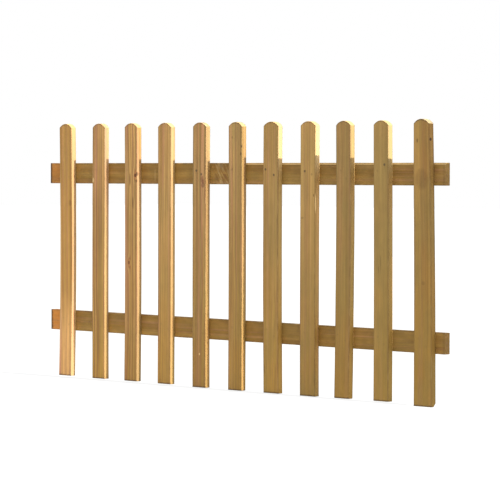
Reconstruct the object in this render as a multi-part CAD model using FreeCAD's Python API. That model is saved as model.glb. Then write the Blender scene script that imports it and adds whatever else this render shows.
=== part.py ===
"""Picket fence panel: upright pickets with arched tops, fixed across the front of two flat rails.

Millimetres. The origin is at mid-length on the lower rail's back face, the face that meets a post.
+X runs along the rails to the right as seen from the front, +Y points back to the posts, +Z is up.
"""

import FreeCAD
import Part
import os

# Rails
RAIL_LENGTH = 1806.0
RAIL_HEIGHT = 72.0
RAIL_THICKNESS = 25.0
LEFT_OVERHANG = 72.0
RIGHT_OVERHANG = 44.0

# Pickets
PICKET_COUNT = 11
PICKET_HEIGHT = 900.0
PICKET_WIDTH = 61.0
PICKET_THICKNESS = 22.0
ARCH_RISE = 15.0
FOOT_BELOW_RAIL = 163.0
HEAD_ABOVE_RAIL = 137.0

# Eased long edges of every board
EDGE_RADIUS = 2.0

# How far some pickets were fixed off the even spacing, by their number from the left
OFF_SPACING = {1: -3.0, 5: 3.0, 6: 8.0, 7: 6.0, 8: 7.0, 9: -4.0, 10: -5.0, 11: 2.0}

# How much wider than the rest some pickets were sawn, by their number from the left
OFF_WIDTH = {7: 5.0, 8: 4.0, 11: 8.0}

# Positions that follow from the sizes above
LOWER_RAIL_Z = 0.0
FOOT_Z = LOWER_RAIL_Z - RAIL_HEIGHT / 2 - FOOT_BELOW_RAIL
CROWN_Z = FOOT_Z + PICKET_HEIGHT
UPPER_RAIL_Z = CROWN_Z - HEAD_ABOVE_RAIL - RAIL_HEIGHT / 2
RAIL_FRONT_Y = -RAIL_THICKNESS
PICKET_FRONT_Y = RAIL_FRONT_Y - PICKET_THICKNESS
FIRST_PICKET_X = -RAIL_LENGTH / 2 + LEFT_OVERHANG + PICKET_WIDTH / 2
LAST_PICKET_X = RAIL_LENGTH / 2 - RIGHT_OVERHANG - PICKET_WIDTH / 2
PICKET_PITCH = (LAST_PICKET_X - FIRST_PICKET_X) / (PICKET_COUNT - 1)

TOLERANCE = 0.01


def point(x, y, z):
    return FreeCAD.Vector(x, y, z)


def rail(centre_z):
    """A straight flat board whose four long edges are eased."""
    corner = point(-RAIL_LENGTH / 2, RAIL_FRONT_Y, centre_z - RAIL_HEIGHT / 2)
    board = Part.makeBox(RAIL_LENGTH, RAIL_THICKNESS, RAIL_HEIGHT, corner)
    long_edges = [edge for edge in board.Edges if edge.BoundBox.XLength > RAIL_LENGTH - TOLERANCE]
    return board.makeFillet(EDGE_RADIUS, long_edges)


def picket_outline(centre_x, width):
    """The picket's front face: a straight upright with a low round arch between two shoulders."""
    left = centre_x - width / 2
    right = centre_x + width / 2
    shoulder_z = CROWN_Z - ARCH_RISE
    left_foot = point(left, PICKET_FRONT_Y, FOOT_Z)
    right_foot = point(right, PICKET_FRONT_Y, FOOT_Z)
    left_shoulder = point(left, PICKET_FRONT_Y, shoulder_z)
    right_shoulder = point(right, PICKET_FRONT_Y, shoulder_z)
    crown = point(centre_x, PICKET_FRONT_Y, CROWN_Z)
    arch = Part.Arc(left_shoulder, crown, right_shoulder).toShape()
    right_side = Part.makeLine(right_shoulder, right_foot)
    foot = Part.makeLine(right_foot, left_foot)
    left_side = Part.makeLine(left_foot, left_shoulder)
    return Part.Face(Part.Wire([arch, right_side, foot, left_side]))


def picket(centre_x, width):
    """One upright board, its edges eased round the front and the back but left sharp at the foot."""
    board = picket_outline(centre_x, width).extrude(point(0, PICKET_THICKNESS, 0))
    round_edges = []
    for edge in board.Edges:
        on_one_face = edge.BoundBox.YLength < TOLERANCE
        above_foot = edge.BoundBox.ZMax > FOOT_Z + TOLERANCE
        if on_one_face and above_foot:
            round_edges.append(edge)
    return board.makeFillet(EDGE_RADIUS, round_edges)


def picket_x(number):
    """Where a picket's middle stands, counted from 1 at the left."""
    return FIRST_PICKET_X + (number - 1) * PICKET_PITCH + OFF_SPACING.get(number, 0.0)


def picket_width(number):
    return PICKET_WIDTH + OFF_WIDTH.get(number, 0.0)


def boards():
    """Every board of the panel by its name."""
    made = {"lower_rail": rail(LOWER_RAIL_Z), "upper_rail": rail(UPPER_RAIL_Z)}
    for number in range(1, PICKET_COUNT + 1):
        made[f"picket_{number:02d}"] = picket(picket_x(number), picket_width(number))
    return made


def main():
    os.makedirs("parts", exist_ok=True)
    for name, board in boards().items():
        if len(board.Solids) != 1 or not board.isValid():
            raise ValueError(f"{name} is not one sound solid")
        board.Solids[0].exportStep(f"parts/{name}.step")


main()
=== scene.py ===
"""Dresses a picket fence panel: treated softwood boards with real grain, nail heads and a white stage.

The file is laid out as an add-on and run as a script. Lengths are metres in the part's own frame:
+X along the rails, +Y from the pickets back to the rails, +Z up.
"""

import math
import random
from dataclasses import dataclass

import bpy
from bpy.props import FloatProperty, FloatVectorProperty, IntProperty, PointerProperty
from mathutils import Euler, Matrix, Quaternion, Vector


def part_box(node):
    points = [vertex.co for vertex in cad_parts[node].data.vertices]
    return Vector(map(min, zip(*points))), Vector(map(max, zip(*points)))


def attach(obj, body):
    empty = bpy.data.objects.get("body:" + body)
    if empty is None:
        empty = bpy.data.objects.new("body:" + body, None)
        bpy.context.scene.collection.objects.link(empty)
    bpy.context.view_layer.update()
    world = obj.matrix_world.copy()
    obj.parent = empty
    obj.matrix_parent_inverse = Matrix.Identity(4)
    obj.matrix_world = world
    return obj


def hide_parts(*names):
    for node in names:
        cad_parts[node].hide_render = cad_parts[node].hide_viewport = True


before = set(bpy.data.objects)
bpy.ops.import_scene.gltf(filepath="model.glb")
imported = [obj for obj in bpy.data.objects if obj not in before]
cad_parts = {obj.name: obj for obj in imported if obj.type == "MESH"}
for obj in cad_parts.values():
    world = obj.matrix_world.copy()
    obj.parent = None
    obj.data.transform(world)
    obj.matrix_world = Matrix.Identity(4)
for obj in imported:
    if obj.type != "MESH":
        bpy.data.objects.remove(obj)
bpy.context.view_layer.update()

bl_info = {
    "name": "Picket fence panel",
    "version": (1, 0, 0),
    "blender": (4, 5, 0),
    "location": "3D View > Sidebar > Fence",
    "description": "Builds the boards and nails of a picket fence panel, and a white stage for it",
    "category": "Object",
}

BODY = "root"
PICKETS = sorted(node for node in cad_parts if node.startswith("picket_"))
RAILS = ("upper_rail", "lower_rail")

# Socket types of the node groups
FLOAT = "NodeSocketFloat"
WHOLE = "NodeSocketInt"
VECTOR = "NodeSocketVector"
COLOUR = "NodeSocketColor"
GEOMETRY = "NodeSocketGeometry"
MATERIAL = "NodeSocketMaterial"

# Kinds of node tree, and the names of the two trees that all boards share
SHADER_TREE = "ShaderNodeTree"
GEOMETRY_TREE = "GeometryNodeTree"
TIMBER = "Treated softwood"
BOARD = "Board"

# Name of the stored vector that says where a point lies across, through and along its board
BOARD_SPACE = "board"

# Name of the stored share, 0 to 1, by which a nail head has weathered
WEATHERED = "weathered"

# Rows of faces that follow each eased edge of a board, and the depth of wood that they cover
EDGE_LOOPS = 5
EDGE_ZONE = 0.003

# Length below a picket's crown over which the rows bend from straight to arched
ARCH_ZONE = 0.04


def linear(red, green, blue):
    """A screen colour, 0 to 255, turned into the linear values that shaders use."""
    shares = [channel / 255 for channel in (red, green, blue)]
    return [s / 12.92 if s <= 0.04045 else ((s + 0.055) / 1.055) ** 2.4 for s in shares]


def length_property(name, description, default):
    return FloatProperty(
        name=name, description=description, default=default, min=0.0, unit="LENGTH", precision=5
    )


def share_property(name, description, default):
    return FloatProperty(
        name=name, description=description, default=default, min=0.0, max=1.0, subtype="FACTOR"
    )


def angle_property(name, description, degrees):
    return FloatProperty(
        name=name, description=description, default=math.radians(degrees), subtype="ANGLE"
    )


def strength_property(name, description, default):
    return FloatProperty(name=name, description=description, default=default, min=0.0)


def colour_property(name, description, *levels):
    return FloatVectorProperty(
        name=name, description=description, default=linear(*levels), size=3, min=0.0, max=1.0,
        subtype="COLOR",
    )


class FenceBoards(bpy.types.PropertyGroup):
    """Shape of the boards beyond the frame's own sizes."""

    arris: length_property("Arris radius", "How far the long edges are eased", 0.0013)
    wane: length_property("Wane", "How far the upper rail's front edge rounds off in its right half", 0.003)
    arch_rise: length_property("Arch rise", "Height of a picket's arched top above its shoulders", 0.015)
    bow: length_property("Bow", "How far a picket's free ends lean out or in", 0.0022)
    relief: length_property("Relief", "How far summer wood stands above spring wood", 0.00018)
    ring_spacing: length_property("Ring spacing", "Mean width of a year's growth", 0.0048)
    wander: length_property("Wander", "How far the heart of the log strays along a board", 0.012)
    column: length_property("Column", "Width of a face across the grain", 0.0012)
    row: length_property("Row", "Length of a face along the grain", 0.0075)


class FenceColours(bpy.types.PropertyGroup):
    """Colours of the treated softwood and of the nails."""

    warm_pale: colour_property("Warm pale", "Spring wood at the warm end of the panel", 192, 152, 91)
    warm_deep: colour_property("Warm deep", "Deeper bands at the warm end of the panel", 165, 124, 69)
    cool_pale: colour_property("Cool pale", "Spring wood at the olive end of the panel", 174, 140, 79)
    cool_deep: colour_property("Cool deep", "Deeper bands at the olive end of the panel", 154, 122, 66)
    gold_pale: colour_property("Gold pale", "Spring wood of the golden pickets", 187, 143, 73)
    gold_deep: colour_property("Gold deep", "Deeper bands of the golden pickets", 161, 116, 55)
    warm_foot: colour_property("Warm foot", "Pale foot of the first picket", 218, 166, 102)
    deep_foot: colour_property("Deep foot", "Feet of the other pickets", 160, 121, 47)
    rail_pale: colour_property("Rail pale", "Spring wood of the rails", 167, 128, 62)
    rail_deep: colour_property("Rail deep", "Deeper bands of the rails", 145, 107, 45)
    rail_end: colour_property("Rail end", "Orange wood at the rails' left ends", 242, 149, 56)
    summer: colour_property("Summer wood", "The dark line that closes each year's ring", 138, 92, 50)
    heart: colour_property("Heart wood", "Reddish streaks near the heart of the log", 190, 134, 98)
    green: colour_property("Treatment", "Where the green preservative still shows", 138, 122, 66)
    # Pale wood beside knots, and also the painted highlight on the sunlit sides and arch tops of the picket
    # heads
    sawn: colour_property("Sawn wood", "Bleached wood on the sides of the heads", 236, 218, 176)
    halo: colour_property("Halo", "Resin drawn out along the grain beside a knot", 172, 104, 62)
    knot_colour: colour_property("Knot", "Core of a knot", 110, 60, 32)
    # Resin round knots, and also the dark of small marks, among them painted shade on picket 11
    knot_rim_and_shade: colour_property("Knot rim and shade", "Resin line round a knot", 66, 40, 22)
    soak: colour_property("Sawn end", "Wood just beside the sawn ends", 70, 50, 26)
    # Rubbed wood along the edges, and also the colour of the painted highlights at the upper rail's wane
    # and on picket 8's side
    worn: colour_property("Worn edge", "Rubbed wood along the eased edges", 222, 186, 126)
    stain: colour_property("Nail stain", "Wood darkened by a nail", 70, 58, 42)
    zinc: colour_property("Zinc", "Nail heads that keep their coating", 158, 136, 100)
    steel: colour_property("Nail steel", "Nail heads that have weathered", 66, 52, 38)


class FenceNails(bpy.types.PropertyGroup):
    """Size and place of the nails."""

    head: length_property("Head diameter", "Width of a nail head", 0.0058)
    proud: length_property("Proud", "How far a head stands out of the wood", 0.0005)
    spread: length_property("Spread", "Half the distance between a pair's nails across the picket", 0.0155)
    stagger: length_property("Stagger", "Half the height between a pair's nails", 0.012)
    stray: length_property("Stray", "How far hand nailing strays", 0.004)
    wear: share_property("Wear", "How far the coating has gone from most of the nails", 0.15)
    seed: IntProperty(name="Seed", description="Draw of the strays", default=11, min=0)


class FenceStage(bpy.types.PropertyGroup):
    """Camera, light and floor."""

    target: FloatVectorProperty(
        name="Target", description="Point at the middle of the picture", default=(0.0905, -0.047, 0.274),
        subtype="XYZ", unit="LENGTH",
    )
    distance: length_property("Distance", "From the camera to the target", 9.044)
    azimuth: angle_property("Azimuth", "How far round to the right the camera stands", 42.877)
    elevation: angle_property("Elevation", "How far the camera looks down", 1.81)
    roll: angle_property("Roll", "Tilt of the camera", 0.175)
    lens: FloatProperty(
        name="Lens", description="Focal length for a 36 mm sensor", default=195.31, unit="CAMERA"
    )
    suns: FloatVectorProperty(
        name="Suns", description="How far round to the right each sun stands, the left pickets' first",
        default=[math.radians(angle) for angle in (84.3, 84.5, 90.4, 91.2)], size=4, unit="ROTATION",
    )
    sun_elevation: angle_property("Sun elevation", "Height of the suns", 47)
    sun_size: angle_property("Sun size", "Width of the suns, which softens shadows", 1.2)
    sun_strength: strength_property("Sun strength", "Strength of the suns", 8.2)
    top_elevation: angle_property("Top elevation", "Height of the lamp over the upper rail", 85)
    top_strength: strength_property("Top strength", "Strength of the lamp over the upper rail", 4.0)
    fill_azimuth: angle_property("Fill azimuth", "How far round to the right the soft lamp stands", 75)
    fill_elevation: angle_property("Fill elevation", "Height of the broad soft lamp", 20)
    fill_strength: strength_property("Fill strength", "Strength of the broad soft lamp", 0.9)
    sky_strength: strength_property("Sky strength", "Strength of the sky", 0.9)
    floor_span: length_property("Floor span", "Width of the floor", 60.0)


@dataclass
class Board:
    """One board of the frame, with its sizes across, through and along the grain."""

    node: str
    middle: Vector
    width: float
    thickness: float
    length: float
    turn: tuple


@dataclass
class Knot:
    """A knot: its middle, counted from its board's, its size, and how dark its core and trail are."""

    across: float
    along: float
    radius: float
    tilt: float = 0.0
    core: float = 1.0
    trail: float = 0.0


@dataclass
class Nail:
    """A nail: its middle, counted from where its picket's and rail's middles cross, and its wear."""

    across: float
    above: float
    weathered: float


@dataclass
class Fleck:
    """A small mark: its middle and half size in its board, and its tone, pale above 0 and dark below."""

    middle: tuple
    half_size: tuple
    tone: float


@dataclass
class Warp:
    """How a board has moved or worn.

    Its free ends bend back by the bow, it leans to a side by the lean per metre, it is narrower by the
    narrowing and by the taper at its head, its head turns by the twist, its head and foot are longer by
    their shares of half its length, and the chip is off its foot.
    """

    bow: float = 0.0
    lean: float = 0.0
    narrowing: float = 0.0
    taper: float = 0.0
    twist: float = 0.0
    long_head: float = 0.0
    long_foot: float = 0.0
    chip: float = 0.0


@dataclass
class Look:
    """A picket's brightness from place to place, its gold and grain, the painted light on its sides and the
    painted highlight on its head's sunlit side.
    """

    depth: float = 1.0
    head: float = 1.04
    foot: float = 1.0
    # side: how bright the side faces are against the front, as painted light and painted shade
    side: float = 1.08
    gold: float = 0.0
    grain: float = 1.0
    # How pale the sunlit side of the head is painted, a painted highlight
    bleach: float = 0.16


NO_KNOT = Knot(0.0, 0.0, 0.0)

# Knots by board, at most two each
KNOTS = {
    "picket_03": [Knot(0.021, 0.269, 0.0045, core=1.0, trail=1.0), Knot(-0.011, -0.035, 0.004, core=0.8)],
    "picket_05": [Knot(0.018, 0.250, 0.0050, core=0.4, trail=0.6)],
    "upper_rail": [Knot(-0.002, -0.060, 0.0170, tilt=math.radians(-58), core=0.0)],
}

# Chips, slivers and smudges, with a painted highlight and painted shade among them, at most five a board
FLECKS = {
    "picket_01": [
        Fleck((0.021, -0.011, 0.169), (0.007, 0.003, 0.012), -0.3),
        Fleck((-0.029, -0.011, -0.06), (0.007, 0.005, 0.42), 0.4),
    ],
    "picket_02": [Fleck((-0.026, -0.011, 0.251), (0.004, 0.004, 0.009), 0.8)],
    "picket_03": [
        Fleck((0.021, -0.011, 0.268), (0.0028, 0.003, 0.0045), -0.6),
        Fleck((0.0285, -0.010, 0.274), (0.0055, 0.007, 0.008), -0.6),
        Fleck((0.0275, -0.011, 0.250), (0.0045, 0.004, 0.007), -0.6),
        Fleck((0.010, -0.011, 0.173), (0.0034, 0.003, 0.024), -0.6),
        Fleck((-0.0045, -0.011, 0.256), (0.0036, 0.003, 0.024), -0.5),
    ],
    "picket_05": [
        Fleck((0.003, -0.011, -0.336), (0.0026, 0.003, 0.004), 0.9),
        Fleck((0.015, -0.011, 0.258), (0.008, 0.003, 0.013), -0.35),
        Fleck((0.018, -0.011, 0.238), (0.009, 0.003, 0.010), -0.45),
    ],
    "picket_06": [
        Fleck((0.028, -0.011, 0.368), (0.003, 0.003, 0.005), -0.8),
        Fleck((0.026, -0.011, 0.344), (0.003, 0.003, 0.007), -0.75),
        Fleck((-0.014, -0.011, 0.398), (0.004, 0.003, 0.005), -0.3),
        Fleck((-0.014, -0.011, 0.292), (0.003, 0.003, 0.006), -0.35),
    ],
    "picket_08": [
        # A painted highlight: a pale sunlit sliver along the side
        Fleck((0.0325, -0.0085, 0.181), (0.002, 0.0024, 0.034), 1.0),
        Fleck((0.0255, -0.011, 0.208), (0.0022, 0.003, 0.005), -0.6),
        Fleck((-0.023, -0.011, 0.134), (0.006, 0.003, 0.004), -0.3),
    ],
    "picket_11": [
        Fleck((-0.018, -0.011, 0.382), (0.0034, 0.003, 0.007), -0.55),
        # Painted shade on the back corner of the right shoulder
        Fleck((0.0345, -0.0040, 0.386), (0.0046, 0.0058, 0.0056), -0.95),
        Fleck((0.003, -0.011, -0.064), (0.008, 0.003, 0.007), -0.2),
        # Painted shade: a broad dark patch at the upper rail
        Fleck((0.0, -0.011, 0.262), (0.03, 0.004, 0.036), -0.22),
    ],
    "upper_rail": [
        Fleck((0.010, -0.0125, -0.084), (0.017, 0.004, 0.011), -0.22),
        Fleck((-0.026, -0.0125, -0.064), (0.012, 0.004, 0.008), -0.3),
        Fleck((0.027, -0.0125, -0.066), (0.008, 0.004, 0.004), 0.25),
        Fleck((0.0, -0.0125, -0.425), (0.034, 0.004, 0.013), -0.14),
        Fleck((0.006, -0.0125, -0.377), (0.026, 0.004, 0.003), 0.22),
    ],
}
NO_FLECK = Fleck((0.0, 0.0, 0.0), (1e-5, 1e-5, 1e-5), 0.0)

# Place and size, on a board's face, of a nail that isn't there
NO_NAIL = (0.0, 0.0, 1e-5)

# What sets single pickets apart
LOOKS = {
    "picket_01": Look(depth=1.04, head=0.95, foot=1.03, gold=1.0, grain=0.5),
    "picket_02": Look(depth=0.84, head=1.33, foot=1.12, grain=2.0),
    "picket_03": Look(head=1.26, foot=0.85, side=0.98, grain=1.4, bleach=0.0),
    "picket_04": Look(side=1.0, bleach=0.1),
    "picket_05": Look(depth=0.73, foot=0.78, side=1.22, grain=1.5, bleach=0.1),
    "picket_06": Look(depth=0.77, foot=0.92, side=1.12, bleach=0.0),
    "picket_07": Look(depth=1.03, head=1.16, foot=1.22, side=1.05, grain=0.8, bleach=0.22),
    "picket_08": Look(depth=1.28, head=1.05, foot=0.8, side=1.02, grain=0.8, bleach=0.3),
    "picket_09": Look(depth=0.92, foot=0.96, side=1.15, grain=0.8, bleach=0.08),
    "picket_10": Look(depth=1.02, foot=1.08, grain=0.6),
    # Picket 11's side is darkened as painted shade
    "picket_11": Look(depth=0.86, head=1.15, foot=1.03, side=0.78, gold=0.75, grain=0.7, bleach=0.0),
}

# Boards that have moved or worn, or were cut a little long, short or narrow
WARPS = {
    "picket_01": Warp(bow=-0.006, long_foot=-0.011),
    "picket_02": Warp(bow=0.001, long_foot=-0.0065),
    "picket_03": Warp(bow=-0.0022, long_foot=-0.0075),
    "picket_04": Warp(bow=-0.0012, long_foot=-0.006),
    "picket_07": Warp(bow=0.0027, lean=-0.003),
    "picket_09": Warp(bow=-0.003, lean=0.005, long_foot=-0.004),
    "picket_10": Warp(bow=-0.002, lean=-0.005, long_foot=-0.006),
    "picket_11": Warp(
        bow=-0.003, lean=-0.012, taper=0.05, twist=math.radians(-5), long_head=0.0078, long_foot=0.0078,
        chip=0.0115,
    ),
    "upper_rail": Warp(lean=-0.0027, long_foot=0.0045),
    "lower_rail": Warp(lean=0.0022, narrowing=0.03, taper=0.025, long_head=0.0034),
}

# Feet of the pickets: the first one's is pale and grained, the others' are deep and plain
FIRST_FOOT = {
    "Heart at foot": 1.0, "Foot grain": 3.0, "Foot amount": 0.9, "Foot start": -0.1, "Foot end": -0.32,
}
OTHER_FOOT = {
    "Heart at foot": 0.2, "Foot grain": 0.4, "Foot amount": 0.75, "Foot start": 0.3, "Foot end": -0.45,
}

# What all pickets share, and what both rails share
PICKET_FINISH = {
    "Worn amount": 0.15, "Edge shade": 0.76, "Soak reach": 0.007, "Low soak": 0.8, "End tone": 1.0,
    "Wane highlight": 0.0, "Mottle amount": 0.03,
}
# The rails' edges are paler than the pickets', partly rubbed wood and partly a painted highlight standing
# for sunlit edges
RAIL_FINISH = {
    "Ring contrast": 0.15, "Line contrast": 0.035, "Heart amount": 0.3, "Green amount": 0.25,
    "Heart at foot": 0.3, "Foot grain": 0.4, "Worn amount": 0.5, "Edge shade": 0.72, "Soak reach": 0.014,
    "Low soak": 1.0, "High soak": 0.3, "Side tone": 1.0, "End tone": 0.76, "Side bleach": 0.0,
    "Head bleach": 0.0, "End bleach": 0.0, "Mottle amount": 0.08,
}

# Each rail's left end, how orange and how bright, its right half's brightness and the strength of the
# painted highlight along its wane
RAIL_LOOKS = {"upper_rail": (0.6, 0.7, 0.92, 0.7), "lower_rail": (0.95, 0.93, 1.0, 0.0)}

# Shine of the wood, and how deep its fine grain looks
WOOD_SPECULAR = 0.3
WOOD_BUMP = {"Strength": 0.6, "Distance": 0.0006}

# How far a nail head may lean
NAIL_TILT = math.radians(4)

# Colours of the sky's light and of the white that shows behind the panel
SKY_COLOUR = (0.96, 0.98, 1.0, 1.0)
WHITE = (1.0, 1.0, 1.0, 1.0)

# The floor: the light it throws back, the part of its shading that shows, and its own glow
FLOOR_BOUNCE = (0.3, 0.3, 0.3, 1.0)
FLOOR_SHADE = (0.1, 0.1, 0.1, 1.0)
FLOOR_GLOW = 0.86

# Upper nails that show, across and above the middle of the rail, and how far each has lost its coating
SHOWN_NAILS = {
    "picket_05": [Nail(-0.0135, 0.0095, 1.0), Nail(0.010, -0.0025, 1.0)],
    "picket_07": [Nail(-0.0225, 0.0150, 1.0), Nail(0.0145, -0.0035, 1.0)],
    "picket_08": [Nail(-0.0130, 0.0095, 1.0), Nail(0.0165, -0.0005, 0.4)],
    "picket_10": [Nail(-0.0150, 0.0120, 0.2), Nail(0.0145, 0.0320, 1.0)],
}

FLOOR = "floor"


def board_names(nodes):
    """Names of the boards that are built over some nodes."""
    return [f"{node}_board" for node in nodes]


# Pieces under each sun, from left to right, and pieces under the lamp above
SUNLIT = (
    board_names(PICKETS[:4]),
    board_names(PICKETS[4:6]),
    board_names(PICKETS[6:8]),
    [*board_names(PICKETS[8:10]), FLOOR],
)
TOPLIT = board_names([RAILS[0], PICKETS[10]])


def picket_board(node):
    low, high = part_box(node)
    size = high - low
    return Board(node, (low + high) / 2, size.x, size.y, size.z, (0.0, 0.0, 0.0))


def rail_board(node):
    low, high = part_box(node)
    size = high - low
    return Board(node, (low + high) / 2, size.z, size.y, size.x, (0.0, math.radians(90), 0.0))


class Wiring:
    """Lays nodes in one tree. Any input may be given as a socket or as a plain value."""

    MIX_COLOURS = (6, 7)
    MIX_COLOUR_RESULT = 2

    def __init__(self, tree):
        self.tree = tree

    def node(self, kind, inputs=None, **settings):
        made = self.tree.nodes.new(kind)
        for name, value in settings.items():
            setattr(made, name, value)
        for key, value in (inputs or {}).items():
            self.feed(made.inputs[key], value)
        return made

    def feed(self, socket, value):
        if isinstance(value, bpy.types.NodeSocket):
            self.tree.links.new(value, socket)
        else:
            socket.default_value = value

    def math(self, operation, *values):
        return self.node("ShaderNodeMath", dict(enumerate(values)), operation=operation).outputs[0]

    def plus(self, first, second):
        return self.math("ADD", first, second)

    def minus(self, first, second):
        return self.math("SUBTRACT", first, second)

    def times(self, first, second):
        return self.math("MULTIPLY", first, second)

    def vector(self, operation, *values):
        made = self.node("ShaderNodeVectorMath", dict(enumerate(values)), operation=operation)
        return made.outputs["Vector"]

    def scale(self, vector, factor):
        inputs = {"Vector": vector, "Scale": factor}
        return self.node("ShaderNodeVectorMath", inputs, operation="SCALE").outputs["Vector"]

    def length(self, vector):
        return self.node("ShaderNodeVectorMath", {"Vector": vector}, operation="LENGTH").outputs["Value"]

    def split(self, vector):
        return self.node("ShaderNodeSeparateXYZ", {"Vector": vector}).outputs

    def join(self, x, y, z):
        return self.node("ShaderNodeCombineXYZ", {"X": x, "Y": y, "Z": z}).outputs[0]

    def ramp(self, value, low, high, start=0.0, end=1.0, kind="SMOOTHSTEP"):
        """Goes from start to end while the value goes from low to high."""
        inputs = {"Value": value, "From Min": low, "From Max": high, "To Min": start, "To Max": end}
        return self.node("ShaderNodeMapRange", inputs, interpolation_type=kind).outputs["Result"]

    def fall(self, value, low, high):
        """Goes from 1 to 0 while the value goes from low to high."""
        return self.ramp(value, low, high, 1.0, 0.0)

    def noise(self, vector, seed, detail=2.0):
        """The noise at a point, once as a number and once as a colour."""
        inputs = {"Vector": vector, "W": seed, "Scale": 1.0, "Detail": detail, "Roughness": 0.5}
        return self.node("ShaderNodeTexNoise", inputs, noise_dimensions="4D").outputs

    def blend(self, factor, under, over):
        """One colour laid over another."""
        inputs = {"Factor": factor, self.MIX_COLOURS[0]: under, self.MIX_COLOURS[1]: over}
        made = self.node("ShaderNodeMix", inputs, data_type="RGBA")
        return made.outputs[self.MIX_COLOUR_RESULT]

    def group(self, group, inputs):
        kind = "GeometryNodeGroup" if self.tree.bl_idname == GEOMETRY_TREE else "ShaderNodeGroup"
        return self.node(kind, inputs, node_tree=group).outputs


def floats(*names):
    """Sockets that each carry one number."""
    return dict.fromkeys(names, FLOAT)


def numbered(name, count):
    """Names of a row of like sockets."""
    return [f"{name} {number}" for number in range(1, count + 1)]


def socket_name(setting):
    """The socket that takes a setting, as Long head takes long_head."""
    return setting.replace("_", " ").capitalize()


def open_group(kind, name, inputs, outputs):
    """A new node group with its sockets: the group, its wiring, what comes in and where it goes out."""
    group = bpy.data.node_groups.new(name, kind)
    for way, sockets in (("INPUT", inputs), ("OUTPUT", outputs)):
        for label, socket in sockets.items():
            group.interface.new_socket(label, in_out=way, socket_type=socket)
    entry = group.nodes.new("NodeGroupInput").outputs
    leave = group.nodes.new("NodeGroupOutput").inputs
    return group, Wiring(group), entry, leave


def grain_noise(wire, entry, stretch, detail=2.0):
    """Noise with a scale of its own across, through and along a board."""
    return wire.noise(wire.vector("MULTIPLY", entry["Board"], stretch), entry["Seed"], detail)["Fac"]


def waney_share(wire, across, through, along):
    """How far a rail's front top edge has rounded off: not on the left, and all along its right half."""
    front_top = wire.times(wire.math("LESS_THAN", across, 0.0), wire.math("LESS_THAN", through, 0.0))
    return wire.times(front_top, wire.ramp(along, 0.0, 0.05))


def knot_group(kind):
    """A branch that tapers in from a board's front, with the line round it and the grain that it parts."""
    inputs = {**dict.fromkeys(("Board", "Knot", "Form"), VECTOR), **floats("Half thickness", "Seed")}
    outputs = floats("Core", "Rim", "Halo", "Near", "Trail", "Swirl", "Smear")
    group, wire, entry, leave = open_group(kind, f"Knot {kind}", inputs, outputs)
    across, through, along = wire.split(entry["Board"])
    knot_across, knot_along, knot_radius = wire.split(entry["Knot"])
    tilt, core_share, trail_share = wire.split(entry["Form"])
    depth = wire.plus(through, entry["Half thickness"])
    radius = wire.math("MAXIMUM", knot_radius, 1e-5)
    right = wire.math("DIVIDE", wire.minus(across, knot_across), radius)
    above = wire.math("DIVIDE", wire.minus(along, knot_along), radius)
    sine = wire.math("SINE", tilt)
    cosine = wire.math("COSINE", tilt)
    aside = wire.math("MULTIPLY_ADD", above, sine, wire.times(right, cosine))
    ahead = wire.minus(wire.times(above, cosine), wire.times(right, sine))
    uneven = grain_noise(wire, entry, (160.0, 60.0, 120.0))
    reach = wire.length(wire.join(aside, wire.times(ahead, 0.8), 0.0))
    reach = wire.plus(reach, wire.math("MULTIPLY_ADD", uneven, 0.7, -0.35))
    reach = wire.plus(reach, wire.ramp(depth, 0.001, 0.01, 0.0, 1.5))
    rim_in = wire.ramp(reach, 0.7, 0.95)
    wire.feed(leave["Core"], wire.ramp(reach, 0.85, 1.1, core_share, 0.0))
    wire.feed(leave["Rim"], wire.times(rim_in, wire.ramp(reach, 1.0, 1.35, core_share, 0.0)))
    eye = wire.length(wire.join(wire.times(aside, 0.55), wire.times(ahead, 0.2), 0.0))
    fade = wire.math("EXPONENT", wire.times(wire.times(eye, eye), -1.0))
    stir = wire.times(core_share, 1.6)
    wire.feed(leave["Swirl"], wire.times(fade, wire.times(radius, stir)))
    near = wire.times(fade, wire.fall(depth, 0.004, 0.012))
    wire.feed(leave["Near"], wire.times(near, core_share))
    drawn = wire.join(wire.times(aside, 2.2), wire.times(ahead, 0.35), 0.0)
    smear = wire.ramp(wire.noise(drawn, entry["Seed"], detail=1.0)["Fac"], 0.32, 0.68, -1.0, 1.0)
    coreless = wire.minus(1.0, core_share)
    wire.feed(leave["Smear"], wire.times(smear, wire.times(near, coreless)))
    halo = wire.times(wire.ramp(near, 0.2, 0.8), wire.ramp(uneven, 0.35, 0.55))
    wire.feed(leave["Halo"], wire.times(halo, core_share))
    waver = wire.math("MULTIPLY_ADD", wire.math("SINE", wire.times(above, 0.35)), 0.25, 0.6)
    line = wire.times(wire.math("ABSOLUTE", wire.plus(right, waver)), radius)
    line = wire.fall(line, 0.0005, 0.0018)
    below = wire.times(wire.ramp(above, -2.0, -3.5), wire.ramp(above, -26.0, -14.0))
    line = wire.times(line, below)
    line = wire.times(line, wire.fall(depth, 0.001, 0.003))
    wire.feed(leave["Trail"], wire.times(line, trail_share))
    return group


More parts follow.
